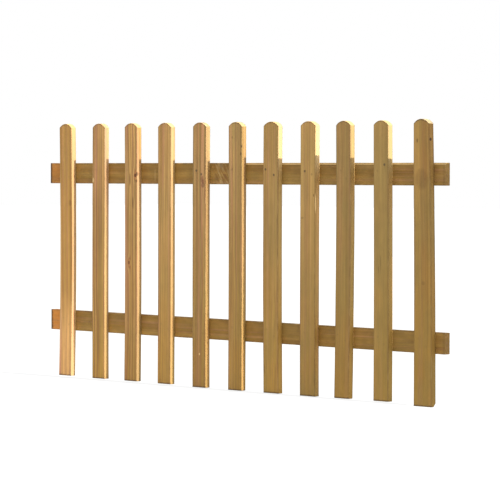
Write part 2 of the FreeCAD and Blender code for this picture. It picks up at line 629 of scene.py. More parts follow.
def growth_ring_group(kind):
    """Yearly rings about the heart of the log, cut by the board wherever its faces happen to lie."""
    inputs = {"Board": VECTOR, "Pith": VECTOR, **floats("Ring spacing", "Wander", "Swirl", "Seed")}
    outputs = floats("Summer", "Band")
    group, wire, entry, leave = open_group(kind, f"Growth rings {kind}", inputs, outputs)
    seed = entry["Seed"]
    across, through, along = wire.split(entry["Board"])
    drift = wire.noise(wire.join(0.0, 0.0, wire.times(along, 2.4)), seed, detail=1.0)["Color"]
    drift = wire.scale(wire.vector("SUBTRACT", drift, (0.5, 0.5, 0.5)), entry["Wander"])
    heart = wire.vector("ADD", entry["Pith"], drift)
    from_heart = wire.vector("SUBTRACT", wire.join(across, through, 0.0), heart)
    radius = wire.length(wire.vector("MULTIPLY", from_heart, (1.0, 1.0, 0.0)))
    wave = grain_noise(wire, entry, (45.0, 45.0, 3.0))
    radius = wire.plus(radius, wire.math("MULTIPLY_ADD", wave, 0.006, -0.003))
    radius = wire.plus(radius, entry["Swirl"])
    years = wire.math("DIVIDE", radius, entry["Ring spacing"])
    uneven = wire.noise(wire.join(wire.times(years, 0.45), 0.0, 0.0), seed)["Fac"]
    years = wire.math("MULTIPLY_ADD", uneven, 1.6, years)
    part = wire.math("FRACT", years)
    wire.feed(leave["Summer"], wire.minus(wire.ramp(part, 0.3, 0.88), wire.ramp(part, 0.9, 1.0)))
    slow = wire.join(wire.times(years, 0.38), 0.0, wire.times(along, 0.8))
    wire.feed(leave["Band"], wire.noise(slow, seed)["Fac"])
    return group


GRAIN_SOCKETS = {
    "Pith": VECTOR, **floats("Ring spacing", "Wander", "Seed", "Half thickness"),
    "Knot 1": VECTOR, "Knot 2": VECTOR, "Form 1": VECTOR, "Form 2": VECTOR,
}


def rings_with_knots(wire, entry, kind):
    """Rings parted by the board's two knots, and what the knots themselves show."""
    board = {"Board": entry["Board"], "Seed": entry["Seed"]}
    branch = {**board, "Half thickness": entry["Half thickness"]}
    knot = knot_group(kind)
    first, second = (
        wire.group(knot, {**branch, "Knot": entry[f"Knot {number}"], "Form": entry[f"Form {number}"]})
        for number in (1, 2)
    )
    grain = {name: entry[name] for name in ("Pith", "Ring spacing", "Wander")}
    swirl = wire.plus(first["Swirl"], second["Swirl"])
    rings = wire.group(growth_ring_group(kind), {**board, **grain, "Swirl": swirl})
    shown = {
        name: wire.math("MAXIMUM", first[name], second[name])
        for name in ("Core", "Rim", "Halo", "Near", "Trail")
    }
    shown["Smear"] = wire.plus(first["Smear"], second["Smear"])
    return rings, shown


def fibre_group():
    """Long fine fibres, broader streaks and cloudy patches, all drawn out along the grain."""
    inputs = {"Board": VECTOR, "Seed": FLOAT}
    outputs = floats("Fine", "Line", "Streak", "Patch", "Mottle", "Check")
    group, wire, entry, leave = open_group(SHADER_TREE, "Wood fibre", inputs, outputs)

    def drawn_out(across, along, detail):
        return grain_noise(wire, entry, (across, across, along), detail)

    wire.feed(leave["Fine"], drawn_out(850.0, 16.0, 2.0))
    wire.feed(leave["Line"], drawn_out(160.0, 1.3, 3.0))
    wire.feed(leave["Streak"], drawn_out(120.0, 1.4, 3.0))
    wire.feed(leave["Patch"], drawn_out(16.0, 5.0, 4.0))
    wire.feed(leave["Mottle"], drawn_out(50.0, 24.0, 2.0))
    ridge = wire.math("ABSOLUTE", wire.minus(drawn_out(140.0, 2.6, 1.0), 0.5))
    where = wire.ramp(drawn_out(30.0, 6.0, 1.0), 0.67, 0.74)
    wire.feed(leave["Check"], wire.times(where, wire.fall(ridge, 0.002, 0.012)))
    return group


def board_edge_group():
    """Rubbed and stained wood along the eased edges and a dark line beside the sawn ends, with masks for
    darkened edges, for the sides and ends that take painted light, and for the painted highlight and
    painted shadow line at the upper rail's wane.
    """
    inputs = {"Board": VECTOR, "Half size": VECTOR, **floats("Soak reach", "Seed")}
    outputs = floats("Worn", "Edge", "Side", "End", "Soak", "Wane", "Wane shadow line")
    group, wire, entry, leave = open_group(SHADER_TREE, "Board edges", inputs, outputs)
    inside = wire.vector("SUBTRACT", entry["Half size"], wire.vector("ABSOLUTE", entry["Board"]))
    from_side, from_face, from_end = wire.split(inside)
    broken = grain_noise(wire, entry, (180.0, 180.0, 30.0))
    to_arris = wire.math("MAXIMUM", from_side, from_face)
    near = wire.fall(to_arris, 0.0008, 0.0042)
    wire.feed(leave["Worn"], wire.times(near, wire.ramp(broken, 0.45, 0.7)))
    wire.feed(leave["Edge"], wire.fall(to_arris, 0.001, 0.006))
    at_side = wire.fall(from_side, 0.0004, 0.0015)
    wire.feed(leave["Side"], wire.times(at_side, wire.ramp(from_face, 0.0, 0.002)))
    wire.feed(leave["End"], wire.fall(from_end, 0.0002, 0.0008))
    soaked = wire.minus(from_end, wire.math("MULTIPLY_ADD", broken, 0.006, -0.003))
    line = wire.fall(soaked, 0.001, entry["Soak reach"])
    line = wire.times(line, wire.ramp(from_end, 0.0002, 0.0012))
    wire.feed(leave["Soak"], wire.times(line, wire.fall(from_face, 0.001, 0.003)))
    waney = waney_share(wire, *wire.split(entry["Board"]))
    waney = wire.times(waney, wire.fall(from_face, 0.003, 0.005))

    def strip(top, bottom):
        inside_strip = wire.ramp(from_side, top, top + 0.0012)
        return wire.times(inside_strip, wire.fall(from_side, bottom, bottom + 0.0012))

    # A painted highlight strip just below the wane's top, and a painted shadow line under it
    wire.feed(leave["Wane"], wire.times(waney, strip(0.002, 0.0055)))
    wire.feed(leave["Wane shadow line"], wire.times(waney, strip(0.0062, 0.0088)))
    return group


def nail_stain_group():
    """Wood darkened round a nail, with a short run below it."""
    inputs = {"Board": VECTOR, "Nail": VECTOR, "Seed": FLOAT}
    group, wire, entry, leave = open_group(SHADER_TREE, "Nail stain", inputs, floats("Stain"))
    across, through, along = wire.split(entry["Board"])
    nail_across, nail_along, nail_radius = wire.split(entry["Nail"])
    aside = wire.minus(across, nail_across)
    below = wire.minus(nail_along, along)
    blot = grain_noise(wire, entry, (300.0, 300.0, 120.0))
    reach = wire.math("DIVIDE", wire.length(wire.join(aside, below, 0.0)), nail_radius)
    reach = wire.plus(reach, wire.math("MULTIPLY_ADD", blot, 1.2, -0.6))
    halo = wire.ramp(reach, 0.9, 1.9, 0.8, 0.0)
    trail = wire.times(wire.ramp(below, 0.0, 0.02, 0.25, 0.0), wire.ramp(below, -0.001, 0.0))
    narrow = wire.fall(wire.math("ABSOLUTE", aside), 0.0005, 0.0025)
    stain = wire.math("MAXIMUM", halo, wire.times(trail, narrow))
    on_front = wire.fall(through, 0.0, 0.001)
    wire.feed(leave["Stain"], wire.times(stain, on_front))
    return group


def fleck_group():
    """A small spot with soft edges."""
    inputs = dict.fromkeys(("Board", "Fleck", "Half size"), VECTOR)
    group, wire, entry, leave = open_group(SHADER_TREE, "Fleck", inputs, floats("Fleck"))
    offset = wire.vector("SUBTRACT", entry["Board"], entry["Fleck"])
    offset = wire.vector("DIVIDE", offset, entry["Half size"])
    wire.feed(leave["Fleck"], wire.fall(wire.length(offset), 0.6, 1.15))
    return group


FLECK_PLACES = numbered("Fleck", 5)
FLECK_SIZES = numbered("Fleck size", 5)
FLECK_TONES = numbered("Fleck tone", 5)
NAIL_SOCKETS = numbered("Nail", 4)
STAIN_SOCKETS = numbered("Stain", 4)
WARP_SOCKETS = [socket_name(field) for field in vars(Warp())]

# A board's own colours, the settings with the colours that all boards share, and a board's amounts
BOARD_TONES = ("Pale", "Deep", "Foot")
SHARED_COLOURS = (
    "summer", "heart", "green", "sawn", "halo", "knot_colour", "knot_rim_and_shade", "soak", "worn", "stain",
)
BOARD_AMOUNTS = (
    "Ring contrast", "Line contrast", "Heart amount", "Green amount", "Foot amount", "Foot start",
    "Foot end", "Heart at foot", "Foot grain", "Worn amount", "Edge shade", "Soak reach", "Low soak",
    "High soak", "Head tone", "Side tone", "End tone", "Side bleach", "Head bleach", "End bleach",
    "Wane highlight", "Mottle amount",
)


def about_one(wire, spread):
    """What is a spread above 1 and a spread below it."""
    return wire.plus(1.0, spread), wire.minus(1.0, spread)


def timber_group():
    """Colour, roughness and height of a treated softwood board."""
    vectors = ("Board", "Half size", *NAIL_SOCKETS, *FLECK_PLACES, *FLECK_SIZES)
    colours = (*BOARD_TONES, *map(socket_name, SHARED_COLOURS))
    inputs = {
        **dict.fromkeys(vectors, VECTOR), **GRAIN_SOCKETS, **dict.fromkeys(colours, COLOUR),
        **floats(*BOARD_AMOUNTS, *STAIN_SOCKETS, *FLECK_TONES),
    }
    outputs = {"Colour": COLOUR, **floats("Roughness", "Height")}
    group, wire, entry, leave = open_group(SHADER_TREE, TIMBER, inputs, outputs)
    place = {"Board": entry["Board"], "Seed": entry["Seed"]}
    rings, knots = rings_with_knots(wire, entry, SHADER_TREE)
    fibre = wire.group(fibre_group(), place)
    size = {"Half size": entry["Half size"], "Soak reach": entry["Soak reach"]}
    edges = wire.group(board_edge_group(), {**place, **size})
    summer = rings["Summer"]
    along = wire.split(entry["Board"])["Z"]

    # Pale and deep bands, the foot's own tone and the head's brightness
    colour = wire.blend(wire.ramp(rings["Band"], 0.36, 0.64), entry["Pale"], entry["Deep"])
    foot = wire.ramp(along, entry["Foot start"], entry["Foot end"], 0.0, entry["Foot amount"])
    colour = wire.blend(foot, colour, entry["Foot"])
    colour = wire.scale(colour, wire.ramp(along, 0.05, 0.4, 1.0, entry["Head tone"]))

    # Summer wood, heart wood and what is left of the treatment
    ring_share = wire.math("MULTIPLY_ADD", knots["Near"], 0.5, entry["Ring contrast"])
    ring_share = wire.math("MINIMUM", ring_share, 0.9)
    colour = wire.blend(wire.times(summer, ring_share), colour, entry["Summer"])
    low_share = wire.ramp(along, entry["Foot start"], entry["Foot end"], kind="LINEAR")
    heart = wire.ramp(low_share, 0.0, 1.0, entry["Heart amount"], entry["Heart at foot"], "LINEAR")
    heart = wire.times(wire.ramp(fibre["Streak"], 0.48, 0.66), heart)
    colour = wire.blend(heart, colour, entry["Heart"])
    green = wire.times(wire.ramp(fibre["Patch"], 0.38, 0.66), entry["Green amount"])
    colour = wire.blend(green, colour, entry["Green"])

    # Fibres and mottles
    contrast = wire.ramp(low_share, 0.3, 1.0, 1.0, entry["Foot grain"], "LINEAR")
    lines = about_one(wire, wire.times(entry["Line contrast"], contrast))
    colour = wire.scale(colour, wire.ramp(fibre["Line"], 0.38, 0.62, *lines))
    colour = wire.scale(colour, wire.ramp(fibre["Fine"], 0.3, 0.7, 0.9, 1.07))
    mottles = about_one(wire, entry["Mottle amount"])
    colour = wire.scale(colour, wire.ramp(fibre["Mottle"], 0.35, 0.65, *mottles))

    # Edges, sides and ends: edges darkened, painted light on the sides, the ends' own tone, painted
    # highlights on the sunlit sides and ends and along the upper rail's wane, and a painted shadow line
    # below the wane
    for part, tone in (("Edge", "Edge shade"), ("Side", "Side tone"), ("End", "End tone")):
        colour = wire.scale(colour, wire.ramp(edges[part], 0.0, 1.0, 1.0, entry[tone]))
    # Painted highlight: sunlit sides and arch tops blended towards the pale sawn colour
    painted_side_highlight = wire.ramp(along, 0.24, 0.34, entry["Side bleach"], entry["Head bleach"])
    painted_side_highlight = wire.times(edges["Side"], painted_side_highlight)
    painted_end_highlight = wire.times(edges["End"], entry["End bleach"])
    colour = wire.blend(wire.math("MAXIMUM", painted_side_highlight, painted_end_highlight), colour, entry["Sawn"])
    # Painted highlight along the upper rail's wane, and a painted shadow line under it
    colour = wire.blend(wire.times(edges["Wane"], entry["Wane highlight"]), colour, entry["Worn"])
    painted_wane_shadow = wire.times(edges["Wane shadow line"], entry["Wane highlight"])
    colour = wire.scale(colour, wire.ramp(painted_wane_shadow, 0.0, 1.0, 1.0, 0.8))

    # Marks over the wood, each with its strength and its colour
    soak = wire.ramp(along, -0.01, 0.01, entry["Low soak"], entry["High soak"])
    for mask, strength, over in (
        (wire.math("MAXIMUM", knots["Smear"], 0.0), 0.14, "Sawn"),
        (wire.math("MINIMUM", knots["Smear"], 0.0), -0.6, "Knot colour"),
        (knots["Halo"], 0.6, "Halo"),
        (knots["Trail"], 0.6, "Knot rim and shade"),
        (knots["Core"], 0.85, "Knot colour"),
        (knots["Rim"], 0.8, "Knot rim and shade"),
        (edges["Worn"], entry["Worn amount"], "Worn"),
        (fibre["Check"], 0.6, "Knot rim and shade"),
        (edges["Soak"], soak, "Soak"),
    ):
        colour = wire.blend(wire.times(mask, strength), colour, entry[over])
    stain_tree = nail_stain_group()
    for nail, strength in zip(NAIL_SOCKETS, STAIN_SOCKETS):
        stain = wire.group(stain_tree, {**place, "Nail": entry[nail]})["Stain"]
        colour = wire.blend(wire.times(stain, entry[strength]), colour, entry["Stain"])
    # Small marks, pale and dark; a few of them are painted highlights and painted shade
    fleck_tree = fleck_group()
    for middle, half_size, tone in zip(FLECK_PLACES, FLECK_SIZES, FLECK_TONES):
        spot = {"Board": entry["Board"], "Fleck": entry[middle], "Half size": entry[half_size]}
        fleck = wire.times(wire.group(fleck_tree, spot)["Fleck"], entry[tone])
        pale = wire.math("MAXIMUM", fleck, 0.0)
        dark = wire.math("MAXIMUM", wire.times(fleck, -1.0), 0.0)
        colour = wire.blend(pale, colour, entry["Worn"])
        colour = wire.blend(dark, colour, entry["Knot rim and shade"])
    wire.feed(leave["Colour"], colour)

    rough = wire.ramp(fibre["Fine"], 0.25, 0.75, 0.62, 0.8)
    wire.feed(leave["Roughness"], wire.math("MULTIPLY_ADD", summer, -0.08, rough))
    height = wire.math("MULTIPLY_ADD", summer, 0.5, wire.times(fibre["Fine"], 0.5))
    wire.feed(leave["Height"], wire.math("MULTIPLY_ADD", fibre["Check"], -1.5, height))
    return group


def crowded_points(wire, position, halves, counts):
    """Points of a plain block that crowd together near its edges, where the easing needs them."""
    crowded = []
    for value, half, count in zip(wire.split(position), halves, counts):
        segments = wire.minus(count, 1.0)
        inner_share = wire.minus(1.0, wire.math("DIVIDE", 2.0 * EDGE_LOOPS, segments))
        share = wire.math("DIVIDE", wire.math("ABSOLUTE", value), half)
        inner = wire.ramp(share, 0.0, inner_share, 0.0, wire.minus(half, EDGE_ZONE), "LINEAR")
        outer = wire.ramp(share, inner_share, 1.0, 0.0, EDGE_ZONE, "LINEAR")
        crowded.append(wire.times(wire.math("SIGN", value), wire.plus(inner, outer)))
    return crowded


def eased_points(wire, entry, crowded, halves):
    """Points with every edge turned through a round of its own, a little uneven along the board."""
    box_point = wire.join(*crowded)
    uneven = wire.noise(wire.join(0.0, 0.0, wire.times(crowded[2], 22.0)), entry["Seed"])["Fac"]
    radius = wire.times(entry["Arris"], wire.ramp(uneven, 0.3, 0.7, 0.85, 1.15))
    wane = wire.times(entry["Wane"], wire.ramp(uneven, 0.3, 0.7, 0.8, 1.15))
    radius = wire.math("MULTIPLY_ADD", waney_share(wire, *crowded), wane, radius)
    inset = wire.join(radius, radius, radius)
    core_half = wire.vector("SUBTRACT", wire.join(*halves), inset)
    core = wire.vector("MINIMUM", box_point, core_half)
    core = wire.vector("MAXIMUM", core, wire.scale(core_half, -1.0))
    outward = wire.vector("NORMALIZE", wire.vector("SUBTRACT", box_point, core))
    return wire.vector("ADD", core, wire.scale(outward, radius))


def arch_offset(wire, entry, place, halves):
    """The top of a picket, which drops away from its crown along a circle."""
    across, _, along = place
    rise = wire.math("MAXIMUM", entry["Arch rise"], 1e-6)
    half_square = wire.times(halves[0], halves[0])
    circle = wire.times(wire.plus(wire.math("DIVIDE", half_square, rise), rise), 0.5)
    across_square = wire.times(across, across)
    under_root = wire.minus(wire.times(circle, circle), across_square)
    drop = wire.math("DIVIDE", across_square, wire.plus(circle, wire.math("SQRT", under_root)))
    bend_start = wire.minus(halves[2], ARCH_ZONE)
    bend = wire.ramp(along, bend_start, halves[2], 0.0, -1.0, "LINEAR")
    return wire.join(0.0, 0.0, wire.times(drop, bend))


def grain_offset(wire, entry):
    """Summer wood, which stands proud, and knots, which are dished with a groove round them."""
    place = wire.node("GeometryNodeInputNamedAttribute", {"Name": BOARD_SPACE}, data_type="FLOAT_VECTOR")
    grain_entry = {name: entry[name] for name in GRAIN_SOCKETS}
    grain_entry["Board"] = place.outputs["Attribute"]
    rings, knots = rings_with_knots(wire, grain_entry, GEOMETRY_TREE)
    height = wire.minus(rings["Summer"], wire.times(knots["Rim"], 3.0))
    height = wire.minus(height, wire.times(knots["Core"], 0.8))
    height = wire.times(wire.minus(height, 0.5), entry["Relief"])
    normal = wire.node("GeometryNodeInputNormal").outputs["Normal"]
    return wire.scale(normal, height)


def warp_offset(wire, entry, place, halves):
    """How a board has moved and worn: to its side, backwards and along."""
    across, through, along = place

    # Free ends bend where the board isn't held, and the board stays straight where it is
    from_low = wire.minus(along, entry["Fixed low"])
    from_high = wire.minus(along, entry["Fixed high"])
    bend = wire.math("DIVIDE", wire.times(from_low, from_high), wire.times(halves[2], halves[2]))
    back = wire.times(bend, entry["Bow"])
    sway = wire.noise(wire.join(0.0, 7.0, wire.times(along, 2.0)), entry["Seed"], 0.0)["Fac"]
    aside = wire.times(wire.minus(sway, 0.5), entry["Bow"])
    aside = wire.math("MULTIPLY_ADD", along, entry["Lean"], aside)

    # The board narrows, and its head turns
    to_head = wire.math("DIVIDE", along, halves[2])
    narrowing = wire.math("MULTIPLY_ADD", to_head, entry["Taper"], entry["Narrowing"])
    aside = wire.minus(aside, wire.times(across, narrowing))
    twist = wire.ramp(along, entry["Fixed high"], halves[2], 0.0, entry["Twist"], "LINEAR")
    aside = wire.minus(aside, wire.times(through, twist))
    back = wire.math("MULTIPLY_ADD", across, twist, back)

    # The foot's right back corner is cut back to a slope where it has been knocked off
    corner = wire.plus(wire.plus(halves[0], halves[1]), halves[2])
    beyond = wire.minus(wire.plus(across, through), along)
    beyond = wire.minus(beyond, wire.minus(corner, entry["Chip"]))
    cut = wire.math("DIVIDE", wire.math("MAXIMUM", beyond, 0.0), 3.0)
    aside = wire.minus(aside, cut)
    back = wire.minus(back, cut)

    # The head and the foot run on or stop short
    up = wire.math("MULTIPLY_ADD", wire.math("MAXIMUM", along, 0.0), entry["Long head"], cut)
    up = wire.math("MULTIPLY_ADD", wire.math("MINIMUM", along, 0.0), entry["Long foot"], up)
    return wire.join(aside, back, up)


def moved(wire, geometry, offset):
    """The geometry with each of its points shifted."""
    return wire.node("GeometryNodeSetPosition", {"Geometry": geometry, "Offset": offset}).outputs[0]


def end_tree(wire, entry, leave, geometry):
    """Ends a geometry tree with real faces in the material that it is given."""
    single = wire.node("GeometryNodeRealizeInstances", {"Geometry": geometry}).outputs[0]
    paint = {"Geometry": single, "Material": entry["Material"]}
    wire.feed(leave["Geometry"], wire.node("GeometryNodeSetMaterial", paint).outputs[0])


def board_tree():
    """A board with eased edges, an arched top where asked, raised grain and its warp, set in its place."""
    size_sockets = ("Width", "Thickness", "Length")
    count_sockets = ("Columns across", "Columns through", "Rows")
    inputs = {
        **floats(*size_sockets), **dict.fromkeys(count_sockets, WHOLE),
        **floats("Arris", "Wane", "Arch rise", "Relief", *WARP_SOCKETS, "Fixed low", "Fixed high"),
        **GRAIN_SOCKETS, "Middle": VECTOR, "Turn": VECTOR, "Material": MATERIAL,
    }
    group, wire, entry, leave = open_group(GEOMETRY_TREE, BOARD, inputs, {"Geometry": GEOMETRY})
    sizes = [entry[name] for name in size_sockets]
    counts = [entry[name] for name in count_sockets]
    halves = [wire.times(size, 0.5) for size in sizes]
    points = dict(zip(("Vertices X", "Vertices Y", "Vertices Z"), counts))
    block = wire.node("GeometryNodeMeshCube", {"Size": wire.join(*sizes), **points}).outputs["Mesh"]
    position = wire.node("GeometryNodeInputPosition").outputs[0]
    crowded = crowded_points(wire, position, halves, counts)
    ease = {"Geometry": block, "Position": eased_points(wire, entry, crowded, halves)}
    eased = wire.node("GeometryNodeSetPosition", ease).outputs[0]
    store = {"Geometry": eased, "Name": BOARD_SPACE}
    stored = wire.node("GeometryNodeStoreNamedAttribute", store, data_type="FLOAT_VECTOR", domain="POINT")
    wire.feed(stored.inputs["Value"], position)
    place = wire.split(position)
    arched = moved(wire, stored.outputs[0], arch_offset(wire, entry, place, halves))
    grained = moved(wire, arched, grain_offset(wire, entry))
    warped = moved(wire, grained, warp_offset(wire, entry, place, halves))
    set_place = {"Geometry": warped, "Translation": entry["Middle"], "Rotation": entry["Turn"]}
    placed = wire.node("GeometryNodeTransform", set_place).outputs[0]
    smooth = wire.node("GeometryNodeSetShadeSmooth", {"Geometry": placed}).outputs[0]
    end_tree(wire, entry, leave, smooth)
    return group


def nail_tree():
    """A flat round head with a bevelled rim on every point, facing out of the pickets."""
    inputs = {
        "Points": GEOMETRY, **floats("Radius", "Proud"), **dict.fromkeys(("Sides", "Seed"), WHOLE),
        "Material": MATERIAL,
    }
    group, wire, entry, leave = open_group(GEOMETRY_TREE, "Nail heads", inputs, {"Geometry": GEOMETRY})
    disc = {"Vertices": entry["Sides"], "Radius": entry["Radius"]}
    head = wire.node("GeometryNodeMeshCircle", disc, fill_type="NGON").outputs[0]
    flange = wire.times(entry["Proud"], 1.6)
    bevel = wire.times(entry["Proud"], 0.4)
    for lift, narrowing in ((flange, 1.0), (bevel, 0.82), (0.0, 0.55), (-2e-4, 0.5)):
        step = {"Mesh": head, "Offset Scale": lift, "Individual": False}
        extrude = wire.node("GeometryNodeExtrudeMesh", step).outputs
        top = {"Geometry": extrude["Mesh"], "Selection": extrude["Top"], "Scale": narrowing}
        head = wire.node("GeometryNodeScaleElements", top).outputs[0]
    into_wood = wire.join(0.0, 0.0, wire.times(entry["Proud"], -1.0))
    sunk = wire.node("GeometryNodeTransform", {"Geometry": head, "Translation": into_wood}).outputs[0]
    upright = math.radians(90)
    least = (upright - NAIL_TILT, -NAIL_TILT, 0.0)
    most = (upright + NAIL_TILT, NAIL_TILT, 0.0)
    lean = {0: least, 1: most, "Seed": entry["Seed"]}
    turn = wire.node("FunctionNodeRandomValue", lean, data_type="FLOAT_VECTOR").outputs[0]
    copies = {"Points": entry["Points"], "Instance": sunk, "Rotation": turn}
    heads = wire.node("GeometryNodeInstanceOnPoints", copies).outputs[0]
    end_tree(wire, entry, leave, heads)
    return group


def put_in_scene(name, data):
    """A new object in the scene."""
    piece = bpy.data.objects.new(name, data)
    bpy.context.scene.collection.objects.link(piece)
    return piece


def made_by_nodes(name, mesh, tree, values):
    """A plain mesh object of what the tree makes with these inputs."""
    piece = put_in_scene(name, mesh)
    modifier = piece.modifiers.new(tree.name, "NODES")
    modifier.node_group = tree
    for item in tree.interface.items_tree:
        if item.in_out == "INPUT" and item.name in values:
            modifier[item.identifier] = values[item.name]
    depsgraph = bpy.context.evaluated_depsgraph_get()
    made = piece.evaluated_get(depsgraph)
    result = bpy.data.meshes.new_from_object(made, preserve_all_data_layers=True, depsgraph=depsgraph)
    if not result.polygons:
        raise RuntimeError(f"{tree.name} made nothing for {name}")
    piece.modifiers.remove(modifier)
    piece.data = result
    result.name = name
    return piece


def points_for(size, spacing):
    """Points along one side of a board, so that faces away from its edges are about as wide as asked."""
    return round((size - 2 * EDGE_ZONE) / spacing) + 2 * EDGE_LOOPS + 1


def grain_of(board, boards):
    """Where the board lay in its log, drawn from its own name so that it never changes."""
    draw = random.Random(board.node)
    side = draw.choice((-1.0, 1.0))
    grain = {
        "Pith": (side * draw.uniform(0.012, 0.06), draw.uniform(0.02, 0.06), 0.0),
        "Ring spacing": boards.ring_spacing * draw.uniform(0.75, 1.3),
        "Wander": boards.wander * draw.uniform(0.6, 1.4),
        "Seed": draw.uniform(0.0, 100.0),
        "Half thickness": board.thickness / 2,
    }
    knots = [*KNOTS.get(board.node, []), NO_KNOT, NO_KNOT]
    for number, knot in enumerate(knots[:2], 1):
        grain[f"Knot {number}"] = (knot.across, knot.along, knot.radius)
        grain[f"Form {number}"] = (knot.tilt, knot.core, knot.trail)
    return grain


def mixed(first, second, share):
    return [a + (b - a) * share for a, b in zip(first, second)]


def shaded(colour, factor):
    return [channel * factor for channel in colour]


def opaque(colour):
    return (*colour, 1.0)


def new_material(name):
    """A new material and the wiring of its nodes."""
    material = bpy.data.materials.new(name)
    material.use_nodes = True
    return material, Wiring(material.node_tree)


def timber_material(board, grain, tones, marks, amounts):
    """The finish of one board."""
    colours = bpy.context.scene.fence_colours
    material, wire = new_material(f"{board.node} timber")
    shader = wire.tree.nodes["Principled BSDF"]
    values = {
        "Board": wire.node("ShaderNodeAttribute", attribute_name=BOARD_SPACE).outputs["Vector"],
        "Half size": (board.width / 2, board.thickness / 2, board.length / 2), **grain, **amounts,
        **{name: opaque(tone) for name, tone in zip(BOARD_TONES, tones)},
        **{socket_name(name): opaque(getattr(colours, name)) for name in SHARED_COLOURS}, **marks,
    }
    tree = bpy.data.node_groups.get(TIMBER) or timber_group()
    wood = wire.group(tree, values)
    wire.feed(shader.inputs["Base Color"], wood["Colour"])
    wire.feed(shader.inputs["Roughness"], wood["Roughness"])
    wire.feed(shader.inputs["Specular IOR Level"], WOOD_SPECULAR)
    bump = wire.node("ShaderNodeBump", {**WOOD_BUMP, "Height": wood["Height"]})
    wire.feed(shader.inputs["Normal"], bump.outputs["Normal"])
    return material


def nail_material(colours):
    """Nail heads in zinc that has taken the timber's colour, bare and dark where it has weathered away."""
    material, wire = new_material("nail heads")
    shader = wire.tree.nodes["Principled BSDF"]
    place = wire.node("ShaderNodeTexCoord").outputs["Object"]
    weathered = wire.node("ShaderNodeAttribute", attribute_name=WEATHERED).outputs["Fac"]
    spots = wire.noise(wire.scale(place, 900.0), 0.0, detail=3.0)["Fac"]
    bare = wire.ramp(wire.math("MULTIPLY_ADD", weathered, 0.6, spots), 0.55, 0.8)
    metal = wire.blend(bare, opaque(colours.zinc), opaque(colours.steel))
    wire.feed(shader.inputs["Base Color"], metal)
    wire.feed(shader.inputs["Metallic"], wire.ramp(spots, 0.35, 0.65, 0.5, 0.2))
    wire.feed(shader.inputs["Roughness"], wire.ramp(spots, 0.3, 0.7, 0.5, 0.75))
    return material


def nails_of(node, nails):
    """A picket's four nails, two at each rail: as they show, or the left one higher and all astray."""
    draw = random.Random(f"{node} nails {nails.seed}")

    def astray():
        return draw.uniform(-nails.stray, nails.stray)

    drawn = [
        Nail(side * nails.spread + astray(), astray() - side * nails.stagger, nails.wear)
        for rail in RAILS
        for side in (-1.0, 1.0)
    ]
    return [*SHOWN_NAILS.get(node, drawn[:2]), *drawn[2:]]


def level_of(rail):
    """Height of a rail's middle."""
    low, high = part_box(rail)
    return (low.z + high.z) / 2


def nail_place(node, rail, nail):
    """Where a nail enters the front of its picket."""
    low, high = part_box(node)
    return Vector(((low.x + high.x) / 2 + nail.across, low.y, level_of(rail) + nail.above))


NAIL_RAILS = (RAILS[0], RAILS[0], RAILS[1], RAILS[1])


def warp_of(node, boards):
    """The warp of a picket: its own where it shows, and otherwise a slight bow drawn from its name."""
    return WARPS.get(node) or Warp(boards.bow * random.Random(f"{node} bow").uniform(-1.0, 1.0))


def dress_board(board, tones, amounts, nail_places, held, warp):
    """Builds one board over its node and gives it its finish."""
    boards = bpy.context.scene.fence_boards
    nails = bpy.context.scene.fence_nails
    grain = grain_of(board, boards)
    marks = [(p.x - board.middle.x, p.z - board.middle.z, nails.head / 2) for p in nail_places]
    marks = dict(zip(NAIL_SOCKETS, marks + [NO_NAIL] * len(NAIL_SOCKETS)))
    flecks = [*FLECKS.get(board.node, []), *[NO_FLECK] * len(FLECK_PLACES)]
    for name, size, tone, fleck in zip(FLECK_PLACES, FLECK_SIZES, FLECK_TONES, flecks):
        marks.update({name: fleck.middle, size: fleck.half_size, tone: fleck.tone})
    values = {
        "Width": board.width, "Thickness": board.thickness, "Length": board.length,
        "Columns across": points_for(board.width, boards.column),
        "Columns through": points_for(board.thickness, boards.column),
        "Rows": points_for(board.length, boards.row),
        "Arris": boards.arris, "Relief": boards.relief,
        "Wane": boards.wane if board.node == RAILS[0] else 0.0,
        "Arch rise": boards.arch_rise if board.node in PICKETS else 0.0,
        **{socket_name(name): amount for name, amount in vars(warp).items()},
        "Fixed low": held[0], "Fixed high": held[1],
        **grain, "Middle": board.middle, "Turn": board.turn,
        "Material": timber_material(board, grain, tones, marks, amounts),
    }
    tree = bpy.data.node_groups.get(BOARD) or board_tree()
    piece = made_by_nodes(f"{board.node}_board", bpy.data.meshes.new("blank"), tree, values)
    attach(piece, BODY)
    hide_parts(board.node)


def picket_tones(node, across, colours):
    """A picket's pale wood, deep wood and foot, by how far across the panel it stands."""
    look = LOOKS[node]
    pale = mixed(mixed(colours.warm_pale, colours.cool_pale, across), colours.gold_pale, look.gold)
    deep = mixed(mixed(colours.warm_deep, colours.cool_deep, across), colours.gold_deep, look.gold)
    foot = colours.warm_foot if node == PICKETS[0] else colours.deep_foot
    return shaded(pale, look.depth), shaded(deep, look.depth), shaded(foot, look.foot)


def picket_amounts(node, across):
    """How strongly the parts of a picket's look show, by how far across the panel it stands."""
    look = LOOKS[node]
    last = node == PICKETS[-1]
    return {
        **PICKET_FINISH, **(FIRST_FOOT if node == PICKETS[0] else OTHER_FOOT),
        "Ring contrast": min((0.6 - 0.4 * across) * look.grain, 0.85),
        "Line contrast": (0.13 - 0.07 * across) * look.grain,
        "Heart amount": (0.75 - 0.6 * across) * min(look.grain, 1.2),
        "Green amount": 0.13 + 0.22 * across,
        "High soak": 0.85 if last else 0.55,
        # The side tone is painted light on the sides, and the pale sides, heads and ends are painted
        # highlights
        "Head tone": look.head, "Side tone": look.side,
        "Side bleach": max(0.12 - 0.2 * across, 0.0), "Head bleach": look.bleach,
        "End bleach": 0.4 if last else 0.16,
    }


